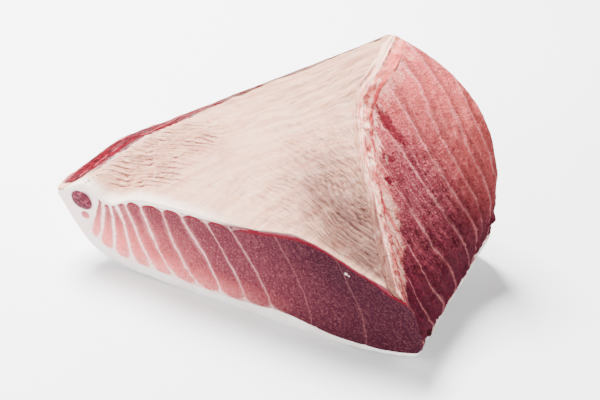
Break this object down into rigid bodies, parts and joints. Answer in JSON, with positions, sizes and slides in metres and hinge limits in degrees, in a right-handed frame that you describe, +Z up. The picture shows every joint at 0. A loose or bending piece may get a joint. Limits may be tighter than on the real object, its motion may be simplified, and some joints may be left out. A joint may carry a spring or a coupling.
{
  "type": "tuna belly block",
  "caption": "Wedge-shaped block of raw tuna belly lying skin down, with a cream cavity wall on top, red cut faces crossed by white fat lines and a white skin band.",
  "frame": {"origin": "centre of the underside of the block's bounding box, on the surface that the skin lies on", "axes": "+X across the near cut towards the back of the fish's side, +Y along the fish from the near cut to the far cut, +Z up"},
  "size_m": [0.3825, 0.257, 0.204],
  "materials": {
    "red_flesh": "moist cut raw flesh, crossed by white fat lines",
    "skin_fat": "white fat with a pale silvery skin outside",
    "cavity_wall": "moist cream membrane with pink mottling",
    "rim_flesh": "wet dark red layered flesh",
    "ridge_band": "pale pink connective tissue",
    "keel_muscle": "dark red muscle with pale flecks"
  },
  "bodies": {
    "root": {"red_flesh": "red_flesh", "skin_fat": "skin_fat", "cavity_wall": "cavity_wall", "rim_flesh": "rim_flesh", "ridge_band": "ridge_band", "keel_muscle": "keel_muscle", "keel_lobe": "keel_muscle"}
  },
  "joints": []
}
